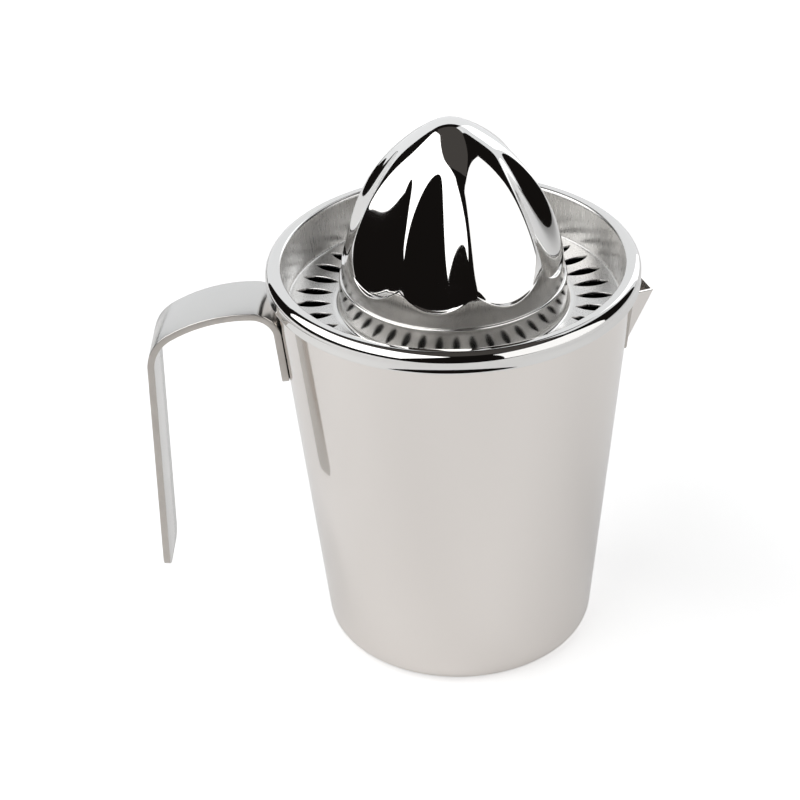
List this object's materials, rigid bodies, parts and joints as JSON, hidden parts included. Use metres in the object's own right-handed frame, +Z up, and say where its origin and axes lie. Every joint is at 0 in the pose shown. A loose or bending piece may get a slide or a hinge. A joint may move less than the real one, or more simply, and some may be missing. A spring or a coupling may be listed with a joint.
{
  "type": "citrus juicer",
  "caption": "Tapered steel jug with a bent strap handle and a folded pouring spout, under a lift-off strainer dish that carries a fluted reamer cone.",
  "frame": {"origin": "centre of the jug's base, on the table", "axes": "+Z up along the jug's axis, +X towards the spout, -X towards the handle, +Y from right to left when looking at the spout from outside"},
  "size_m": [0.1522, 0.112, 0.1733],
  "materials": {
    "satin_steel": "satin stainless steel",
    "strap_steel": "satin stainless strip with brighter sheared edges",
    "dish_steel": "polished rim and satin well, stainless steel",
    "mirror_steel": "mirror-polished stainless steel",
    "weld_steel": "ground weld metal"
  },
  "bodies": {
    "jug": {"jug_body": "satin_steel", "pouring_spout": "satin_steel", "spout_weld": "weld_steel", "handle_strap": "strap_steel", "handle_weld": "weld_steel"},
    "insert": {"strainer_dish": "dish_steel", "reamer_cone": "mirror_steel", "cone_weld": "weld_steel"}
  },
  "joints": [
    {"name": "insert_lift", "type": "slide", "parent": "jug", "child": "insert", "axis": [0, 0, 1], "range_m": [0, 0.07]}
  ]
}
